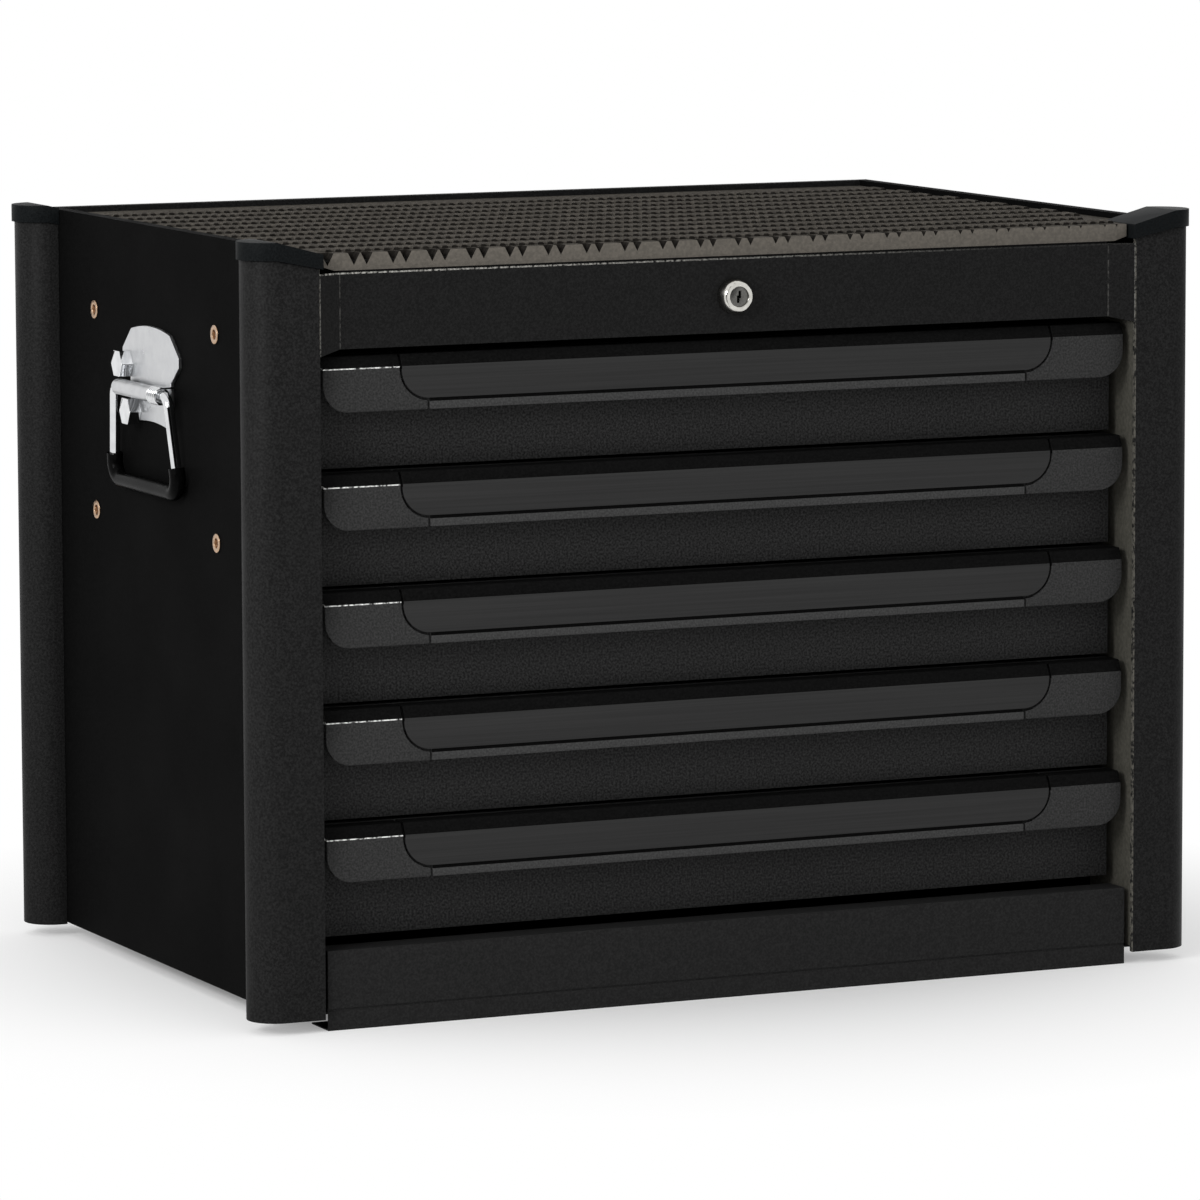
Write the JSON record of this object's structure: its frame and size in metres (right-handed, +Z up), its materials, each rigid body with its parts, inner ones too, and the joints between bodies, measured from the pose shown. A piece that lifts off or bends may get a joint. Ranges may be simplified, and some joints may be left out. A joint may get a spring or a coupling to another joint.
{
  "type": "tool chest",
  "caption": "Black sheet-metal tool chest with full-width drawers on telescopic slides, a ribbed rubber top mat, a centre lock and sprung folding carry handles.",
  "frame": {"origin": "on the floor under the middle of the chest", "axes": "+X to the right of someone facing the drawers, -Y out of the drawer fronts, +Z up"},
  "size_m": [0.712, 0.48, 0.53],
  "materials": {
    "cabinet_paint": "satin black powder coat",
    "drawer_paint": "satin black powder coat with a fine texture",
    "cap_plastic": "satin black plastic",
    "mat_rubber": "ribbed dark grey rubber",
    "pull_aluminium": "satin black coating",
    "pull_plastic": "grained black plastic",
    "slide_steel": "zinc plated",
    "lock_plating": "bright nickel plating",
    "lock_steel": "zinc plated",
    "handle_chrome": "bright chrome",
    "spring_steel": "bright plated wire",
    "grip_rubber": "glossy black rubber",
    "nut_brass": "yellow passivated"
  },
  "bodies": {
    "cabinet": {"front_left_post": "cabinet_paint", "front_right_post": "cabinet_paint", "rear_left_post": "cabinet_paint", "rear_right_post": "cabinet_paint", "left_side_panel": "cabinet_paint", "right_side_panel": "cabinet_paint", "back_panel": "cabinet_paint", "top_panel": "cabinet_paint", "base_panel": "cabinet_paint", "front_plinth": "cabinet_paint", "rear_foot_rail": "cabinet_paint", "front_uprights": "cabinet_paint", "rear_uprights": "cabinet_paint", "front_fascia": "cabinet_paint", "post_caps": "cap_plastic", "top_mat": "mat_rubber", "slide_outer_rails": "slide_steel", "lock_housing": "lock_plating", "lock_nut": "lock_steel", "lock_guides": "lock_steel", "left_handle_bracket": "handle_chrome", "right_handle_bracket": "handle_chrome", "handle_bolts": "handle_chrome", "handle_nuts": "handle_chrome", "left_spring": "spring_steel", "right_spring": "spring_steel", "left_rivet_nuts": "nut_brass", "right_rivet_nuts": "nut_brass"},
    "drawer_1": {"drawer_1_body": "drawer_paint", "drawer_1_pull": "pull_aluminium", "drawer_1_pull_ends": "pull_plastic", "drawer_1_inner_rails": "slide_steel"},
    "slide_1": {"drawer_1_middle_rails": "slide_steel"},
    "drawer_2": {"drawer_2_body": "drawer_paint", "drawer_2_pull": "pull_aluminium", "drawer_2_pull_ends": "pull_plastic", "drawer_2_inner_rails": "slide_steel"},
    "slide_2": {"drawer_2_middle_rails": "slide_steel"},
    "drawer_3": {"drawer_3_body": "drawer_paint", "drawer_3_pull": "pull_aluminium", "drawer_3_pull_ends": "pull_plastic", "drawer_3_inner_rails": "slide_steel"},
    "slide_3": {"drawer_3_middle_rails": "slide_steel"},
    "drawer_4": {"drawer_4_body": "drawer_paint", "drawer_4_pull": "pull_aluminium", "drawer_4_pull_ends": "pull_plastic", "drawer_4_inner_rails": "slide_steel"},
    "slide_4": {"drawer_4_middle_rails": "slide_steel"},
    "drawer_5": {"drawer_5_body": "drawer_paint", "drawer_5_pull": "pull_aluminium", "drawer_5_pull_ends": "pull_plastic", "drawer_5_inner_rails": "slide_steel"},
    "slide_5": {"drawer_5_middle_rails": "slide_steel"},
    "lock_core": {"lock_cylinder": "lock_plating", "lock_rod": "lock_steel"},
    "lock_bar": {"lock_bar": "lock_steel"},
    "left_handle": {"left_bail": "handle_chrome", "left_grip": "grip_rubber"},
    "right_handle": {"right_bail": "handle_chrome", "right_grip": "grip_rubber"}
  },
  "joints": [
    {"name": "drawer_1_slide", "type": "slide", "parent": "cabinet", "child": "drawer_1", "axis": [0, -1, 0], "range_m": [0, 0.38]},
    {"name": "middle_rails_1_slide", "type": "slide", "parent": "cabinet", "child": "slide_1", "axis": [0, -1, 0], "range_m": [0, 0.19]},
    {"name": "drawer_2_slide", "type": "slide", "parent": "cabinet", "child": "drawer_2", "axis": [0, -1, 0], "range_m": [0, 0.38]},
    {"name": "middle_rails_2_slide", "type": "slide", "parent": "cabinet", "child": "slide_2", "axis": [0, -1, 0], "range_m": [0, 0.19]},
    {"name": "drawer_3_slide", "type": "slide", "parent": "cabinet", "child": "drawer_3", "axis": [0, -1, 0], "range_m": [0, 0.38]},
    {"name": "middle_rails_3_slide", "type": "slide", "parent": "cabinet", "child": "slide_3", "axis": [0, -1, 0], "range_m": [0, 0.19]},
    {"name": "drawer_4_slide", "type": "slide", "parent": "cabinet", "child": "drawer_4", "axis": [0, -1, 0], "range_m": [0, 0.38]},
    {"name": "middle_rails_4_slide", "type": "slide", "parent": "cabinet", "child": "slide_4", "axis": [0, -1, 0], "range_m": [0, 0.19]},
    {"name": "drawer_5_slide", "type": "slide", "parent": "cabinet", "child": "drawer_5", "axis": [0, -1, 0], "range_m": [0, 0.38]},
    {"name": "middle_rails_5_slide", "type": "slide", "parent": "cabinet", "child": "slide_5", "axis": [0, -1, 0], "range_m": [0, 0.19]},
    {"name": "lock_turn", "type": "hinge", "parent": "cabinet", "child": "lock_core", "pos_m": [0, -0.23, 0.482], "axis": [0, 1, 0], "range_deg": [0, 90]},
    {"name": "lock_bar_drop", "type": "slide", "parent": "cabinet", "child": "lock_bar", "axis": [0, 0, -1], "range_m": [0, 0.01414]},
    {"name": "left_bail_swing", "type": "hinge", "parent": "cabinet", "child": "left_handle", "pos_m": [-0.339, 0.01, 0.411], "axis": [0, 1, 0], "range_deg": [0, 86], "stiffness_Nm_per_rad": 0.08},
    {"name": "right_bail_swing", "type": "hinge", "parent": "cabinet", "child": "right_handle", "pos_m": [0.339, 0.01, 0.411], "axis": [0, -1, 0], "range_deg": [0, 86], "stiffness_Nm_per_rad": 0.08}
  ],
  "couplings": [
    {"joint": "middle_rails_1_slide", "follows": "drawer_1_slide", "ratio": 0.5},
    {"joint": "middle_rails_2_slide", "follows": "drawer_2_slide", "ratio": 0.5},
    {"joint": "middle_rails_3_slide", "follows": "drawer_3_slide", "ratio": 0.5},
    {"joint": "middle_rails_4_slide", "follows": "drawer_4_slide", "ratio": 0.5},
    {"joint": "middle_rails_5_slide", "follows": "drawer_5_slide", "ratio": 0.5},
    {"joint": "lock_turn", "follows": "lock_bar_drop", "rad_per_m": 111.07}
  ]
}
